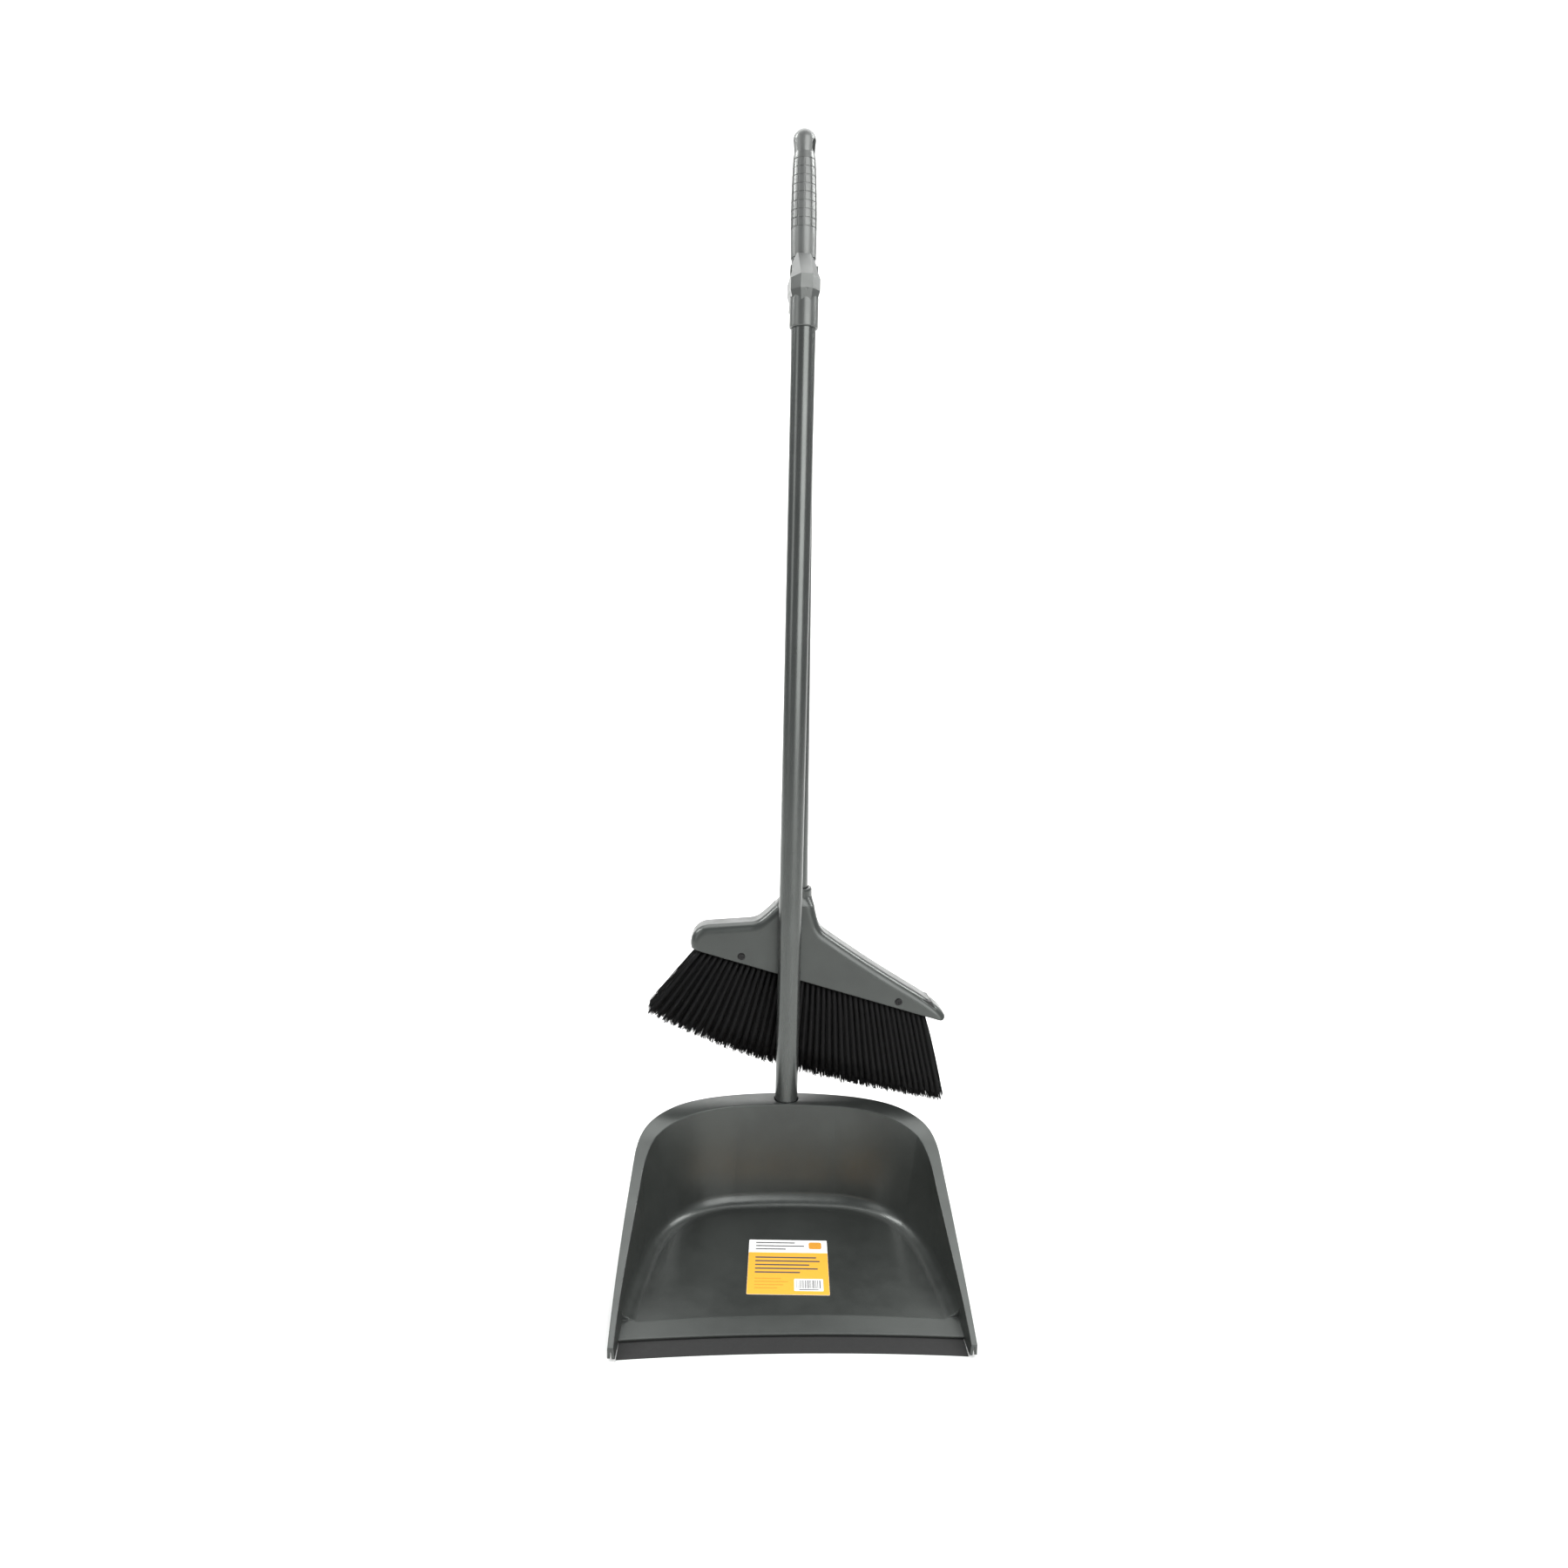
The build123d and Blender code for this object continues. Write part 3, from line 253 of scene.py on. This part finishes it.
def black_screw():
    material, tree, shader = new_material("black_screw")
    place = object_coordinates(tree)
    wear = noise(tree, place, 700.0, 4.0)
    base = mix_colours(
        tree, mapped(tree, wear, 0.5, 0.75, 0.0, 1.0), (0.012, 0.012, 0.012), (0.05, 0.05, 0.05)
    )
    tree.links.new(base, shader.inputs["Base Color"])
    shader.inputs["Metallic"].default_value = 0.6
    tree.links.new(mapped(tree, wear, 0.3, 0.7, 0.35, 0.5), shader.inputs["Roughness"])
    return material


def filament():
    """Soft black filament: dull along its length, with a browner, paler black mixed in at random patches.
    """
    material, tree, shader = new_material("filament")
    place = object_coordinates(tree)
    strand = noise(tree, place, 420.0, 2.0)
    base = mix_colours(
        tree, mapped(tree, strand, 0.45, 0.7, 0.0, 1.0), (0.0015, 0.0015, 0.0017), (0.005, 0.0048, 0.0045)
    )
    tree.links.new(base, shader.inputs["Base Color"])
    tree.links.new(mapped(tree, strand, 0.3, 0.7, 0.5, 0.68), shader.inputs["Roughness"])
    shader.inputs["Specular IOR Level"].default_value = 0.14
    return material


def printed(name, colour, roughness=0.32):
    """Printed film: nearly even ink with a trace of fibre."""
    material, tree, shader = new_material(name)
    place = object_coordinates(tree)
    fibre = noise(tree, place, 900.0, 4.0)
    worn = tuple(channel * 0.93 for channel in colour)
    base = mix_colours(tree, mapped(tree, fibre, 0.35, 0.7, 0.0, 1.0), colour, worn)
    tree.links.new(base, shader.inputs["Base Color"])
    tree.links.new(
        mapped(tree, fibre, 0.3, 0.7, roughness, roughness + 0.08), shader.inputs["Roughness"]
    )
    tree.links.new(bump(tree, fibre, 0.05, 0.00003), shader.inputs["Normal"])
    return material


def dress(node, material):
    """Gives a CAD node this material in all its slots."""
    mesh = nodes[node].data
    mesh.materials.clear()
    mesh.materials.append(material)


# ---------------------------------------------------------------- new pieces

def make_piece(name, verts, faces, materials, indices=None, smooth=True):
    mesh = bpy.data.meshes.new(name)
    mesh.from_pydata(verts, [], faces)
    for material in materials:
        mesh.materials.append(material)
    if indices:
        mesh.polygons.foreach_set("material_index", indices)
    mesh.polygons.foreach_set("use_smooth", [smooth] * len(faces))
    mesh.update()
    piece = bpy.data.objects.new(name, mesh)
    bpy.context.scene.collection.objects.link(piece)
    return piece


def rounded_outline(low, high, radius):
    """Corners of a flat rectangle, rounded, counter-clockwise."""
    points = []
    steps = 5
    for corner, (sx, sy) in enumerate(((1, -1), (1, 1), (-1, 1), (-1, -1))):
        cx = high[0] - radius if sx > 0 else low[0] + radius
        cy = high[1] - radius if sy > 0 else low[1] + radius
        for step in range(steps + 1):
            angle = math.radians(-90 + 90 * corner + 90 * step / steps)
            points.append((cx + radius * math.cos(angle), cy + radius * math.sin(angle)))
    return points


def slab_of(points, bottom, top):
    """Closed slab over a flat outline: its corners and faces."""
    count = len(points)
    verts = [(x, y, bottom) for x, y in points] + [(x, y, top) for x, y in points]
    faces = [tuple(reversed(range(count))), tuple(range(count, 2 * count))]
    for i in range(count):
        j = (i + 1) % count
        faces.append((i, j, count + j, count + i))
    return verts, faces


# label, in millimetres from its centre: x to the right, y towards the tube
LABEL_HALF = (34.0, 38.0)
LABEL_SLOPE = math.radians(2.6)
LABEL_TURN = math.radians(-2.0)
LABEL_SHEET = 0.2
INK_SHEET = 0.03
INK_MARGIN = 0.1  # paper left bare round the amber field
HEADER_LOW = 19.5
TEXT_LEFT = -28
WHITE, AMBER, DEEP, GREY = range(4)  # order of the label's materials
HEADER_BARS = (6, 14, -2)  # right ends of the bars that stand for words
TITLE_BARS = (24, 27, 18, 25, 10)
NOTE_BARS = (-6, 0, -4, -9)


def ink(prints, left, low, right, high, material, radius=0.15, layer=1):
    """Adds one printed patch, layers of ink thick, over the label's paper."""
    base = LABEL_SHEET / 2
    prints.append(((left, low), (right, high), radius, material, base, base + INK_SHEET * layer))


def label_prints():
    """The label's paper and its patches of ink, from the lowest to the topmost."""
    half_width, half_depth = LABEL_HALF
    paper = (-LABEL_SHEET / 2, LABEL_SHEET / 2)
    prints = [((-half_width, -half_depth), (half_width, half_depth), 1.0, WHITE, *paper)]
    edge = half_width - INK_MARGIN
    ink(prints, -edge, INK_MARGIN - half_depth, edge, HEADER_LOW, AMBER, 0.9)
    for i, right in enumerate(HEADER_BARS):
        ink(prints, TEXT_LEFT, 33 - 4.6 * i, right, 34.6 - 4.6 * i, GREY)
    ink(prints, 18, 25, 29, 35, DEEP, 2.0)
    for i, right in enumerate(TITLE_BARS):
        ink(prints, TEXT_LEFT, 11.5 - 5.2 * i, right, 13.4 - 5.2 * i, GREY, layer=2)
    for i, right in enumerate(NOTE_BARS):
        ink(prints, TEXT_LEFT, -17.5 - 4.2 * i, right, -16.2 - 4.2 * i, DEEP, layer=2)
    ink(prints, 5, -33, 29, -17, WHITE, 0.8, layer=2)
    rng = random.Random(4)
    at = 7.0
    while at < 26.5:
        width = rng.choice((0.35, 0.6, 0.9))
        ink(prints, at, -29.5, at + width, -18.8, GREY, 0.05, layer=3)
        at += width + rng.choice((0.4, 0.7, 1.0))
    ink(prints, 9, -31.9, 25, -30.8, GREY, layer=3)
    return prints


def make_label():
    """Label on the pan's floor: a pale header, an amber field and a small panel, all without words."""
    white = printed("label_white", (0.80, 0.80, 0.78))
    amber = printed("label_amber", (0.76, 0.37, 0.04))
    deep = printed("label_deep", (0.60, 0.27, 0.03))
    grey = printed("label_grey", (0.07, 0.07, 0.075))
    low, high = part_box("label")
    centre = (Vector(low) + Vector(high)) / 2
    turn = Matrix.Rotation(LABEL_SLOPE, 4, "X") @ Matrix.Rotation(LABEL_TURN, 4, "Z")
    place = Matrix.Translation(centre) @ turn
    verts, faces, indices = [], [], []
    for low_corner, high_corner, radius, material, bottom, top in label_prints():
        outline = rounded_outline(low_corner, high_corner, radius)
        more, sides = slab_of(outline, bottom, top)
        start = len(verts)
        verts += [place @ (Vector(point) * MM) for point in more]
        faces += [tuple(start + i for i in face) for face in sides]
        indices += [material] * len(sides)
    piece = make_piece("label_print", verts, faces, [white, amber, deep, grey], indices, smooth=False)
    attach(piece, PAN)
    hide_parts("label")


# bristles, in millimetres
ANCHOR_REACH = 3.6  # corners of one staple lie closer together than this
ROOT_BELOW_ANCHOR = 9.6  # from a staple's middle down to the block's underside
ROOT_RADIUS = 1.6
FAN_LEAN = (-39.0, 5.0)  # degrees to the right, at the left and right ends
FAN_LENGTH = 80.0
FAN_GAIN = 4.0  # how much longer the right end is
FAN_BOW = 8.0
FAN_ENDS = (2.8, 15.9)  # the fan's roots pass the first and last staples by this
ROW_SPLAY = math.radians(2.4)
FILAMENTS = 42
FILAMENT_RINGS = 5
FILAMENT_SIDES = 3
FILAMENT_RADIUS = 0.42
FILAMENT_TAPER = 0.2
CORE_RADII = (2.5, 3.0)  # at the root and at the tip
CORE_SHARE = 0.9  # of the bunch's length
CORE_RINGS = 6
CORE_SIDES = 9
TIP_SPREAD = 0.85  # half width of a bunch's tip, in spacings of the bunches
TIP_DEPTH = 2.6
OPENING = 0.75  # power by which a bunch opens towards its tip
NOTCH = 0.045  # how much shorter a bunch's outermost filaments are
RAGGED = 0.02
BROKEN_SHARE = 0.06
BROKEN = 0.12
BEND = 0.8
RIPPLE = 0.25


def tuft_places():
    """Centres of the staples that hold the tufts, by row from the front and by column."""
    item = nodes["tuft_anchors"]
    clusters = []
    for vertex in item.data.vertices:
        point = item.matrix_world @ vertex.co
        for cluster in clusters:
            if (cluster[0] - point).length < ANCHOR_REACH * MM:
                cluster.append(point)
                break
        else:
            clusters.append([point])
    centres = []
    for cluster in clusters:
        lows = [min(point[i] for point in cluster) for i in range(3)]
        highs = [max(point[i] for point in cluster) for i in range(3)]
        centres.append(Vector([(a + b) / 2 for a, b in zip(lows, highs)]))
    centres.sort(key=lambda point: point.y)
    count = len(frame_rows())
    size = len(centres) // count
    rows = [centres[i * size:(i + 1) * size] for i in range(count)]
    return [sorted(row, key=lambda point: point.x) for row in rows]


def frame_rows():
    """Names of the rows of bristles, from the front."""
    return sorted(name for name in nodes if name.startswith("bristle_row_"))


def strand(verts, faces, path, radii, sides, turn):
    """Adds a tapering tube along a path."""
    start = len(verts)
    for point, radius in zip(path, radii):
        for side in range(sides):
            angle = turn + 2 * math.pi * side / sides
            verts.append(point + Vector((math.cos(angle), math.sin(angle), 0)) * radius)
    for ring in range(len(path) - 1):
        for side in range(sides):
            a = start + ring * sides + side
            b = start + ring * sides + (side + 1) % sides
            faces.append((a, a + sides, b + sides, b))
    faces.append(tuple(start + side for side in range(sides)))
    faces.append(tuple(start + (len(path) - 1) * sides + side for side in reversed(range(sides))))


def fan_tip(start, along, run, share, side):
    """Where a bunch ends: share of the way along the fan, side from -1 in front to 1 behind."""
    lean = math.radians(FAN_LEAN[0] + (FAN_LEAN[1] - FAN_LEAN[0]) * (1 - (1 - share) ** 2))
    length = (FAN_LENGTH + FAN_GAIN * share + FAN_BOW * math.sin(math.pi * share)) * MM
    tip = start + along * run * share
    tip = tip + Vector((math.sin(lean), 0, -math.cos(lean))) * length
    tip.y += math.sin(ROW_SPLAY * side) * length
    return tip


def add_filament(verts, faces, rng, root, run, spacing, reach_down):
    """One filament: it leaves the root within the bunch, opens outwards and bends a little."""
    ahead = run.normalized()
    across = Vector((-ahead.z, 0, ahead.x))
    angle = rng.uniform(0, 2 * math.pi)
    reach = math.sqrt(rng.uniform(0, 1))
    offset_x = math.cos(angle) * reach
    offset_y = math.sin(angle) * reach
    spread = spacing * TIP_SPREAD * offset_x
    depth = TIP_DEPTH * MM * offset_y
    share = 1 - NOTCH * abs(offset_x) ** 2 - RAGGED * rng.uniform(0, 1)
    if rng.uniform(0, 1) < BROKEN_SHARE:
        share -= rng.uniform(0.0, BROKEN)
    bend = rng.uniform(-BEND, BEND) * MM
    wave = rng.uniform(0, 6.28)
    path = []
    radii = []
    for ring in range(FILAMENT_RINGS):
        t = ring / (FILAMENT_RINGS - 1)
        point = root + run * (t * share * reach_down)
        open_up = t ** OPENING
        inner = (1 - t) * ROOT_RADIUS * MM
        point = point + across * (offset_x * inner + spread * open_up)
        point = point + across * bend * math.sin(math.pi * t)
        point = point + across * RIPPLE * MM * math.sin(wave + 5 * t)
        point.y += offset_y * inner + depth * open_up
        path.append(point)
        radii.append((FILAMENT_RADIUS - FILAMENT_TAPER * t) * MM)
    strand(verts, faces, path, radii, FILAMENT_SIDES, wave)


def add_bunch(verts, faces, rng, root, tip, spacing):
    """A bunch of filaments round a closed core."""
    run = tip - root
    reach_down = rng.uniform(0.985, 1.0)
    core = []
    radii = []
    for ring in range(CORE_RINGS):
        t = ring / (CORE_RINGS - 1)
        core.append(root + run * (CORE_SHARE * reach_down * t))
        radii.append((CORE_RADII[0] * (1 - t) + CORE_RADII[1] * t) * MM)
    strand(verts, faces, core, radii, CORE_SIDES, rng.uniform(0, 1))
    for _ in range(FILAMENTS):
        add_filament(verts, faces, rng, root, run, spacing, reach_down)


def make_bristles(material):
    """Rows of bunches, at the staples and halfway between, that open into one fan."""
    rows = tuft_places()
    along = (rows[0][-1] - rows[0][0]).normalized()
    up = Vector((-along.z, 0, along.x))
    middle_y = sum(row[0].y for row in rows) / len(rows)
    half_rows = abs(rows[-1][0].y - middle_y)
    rng = random.Random(11)
    for name, row in zip(frame_rows(), rows):
        verts, faces = [], []
        side = (row[0].y - middle_y) / half_rows
        fan_start = row[0] - along * FAN_ENDS[0] * MM - up * ROOT_BELOW_ANCHOR * MM
        fan_run = (row[-1] - row[0]).length + sum(FAN_ENDS) * MM
        halfway = [(first + second) / 2 for first, second in zip(row, row[1:])]
        bunches = sorted(row + halfway, key=lambda point: point.x)
        spacing = fan_run / len(bunches)
        for column, anchor in enumerate(bunches):
            root = anchor - up * ROOT_BELOW_ANCHOR * MM
            tip = fan_tip(fan_start, along, fan_run, (column + 0.5) / len(bunches), side)
            add_bunch(verts, faces, rng, root, tip, spacing)
        piece = make_piece("bristle_tufts_" + name[-1], verts, faces, [material])
        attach(piece, BRUSH)
        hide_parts(name)


make_camera()
make_studio()

plastic = silver_plastic("silver_plastic", (0.042, 0.046, 0.043), (0.052, 0.057, 0.053), 0.34, 0.0016)
grip_plastic = silver_plastic("grip_plastic", (0.12, 0.125, 0.12), (0.135, 0.14, 0.135), 0.42, 0.0003)
clip_plastic = silver_plastic("clip_plastic", (0.085, 0.09, 0.086), (0.10, 0.105, 0.10), 0.36, 0.0004)
tube_paint = silver_tube()
rubber = soft_rubber("black_rubber", (0.004, 0.004, 0.004), (0.008, 0.008, 0.0075), 0.62)
lip_grey = soft_rubber("grey_rubber", (0.60, 0.62, 0.60), (0.66, 0.68, 0.66), 0.5)
black_plastic = soft_rubber("black_plastic", (0.014, 0.014, 0.014), (0.03, 0.03, 0.03), 0.42)
screw_black = black_screw()
bristle = filament()

for node in ("pan_shell", "head_shell"):
    dress(node, plastic)
dress("grip", grip_plastic)
dress("clip", clip_plastic)
for node in ("pan_tube", "brush_tube"):
    dress(node, tube_paint)
for node in ("pan_tube_ferrule", "brush_tube_ferrule", "bristle_block"):
    dress(node, black_plastic)
dress("lip_rubber", rubber)
dress("lip_edge", lip_grey)
for node in ("head_screws", "tuft_anchors"):
    dress(node, screw_black)
make_label()
make_bristles(bristle)
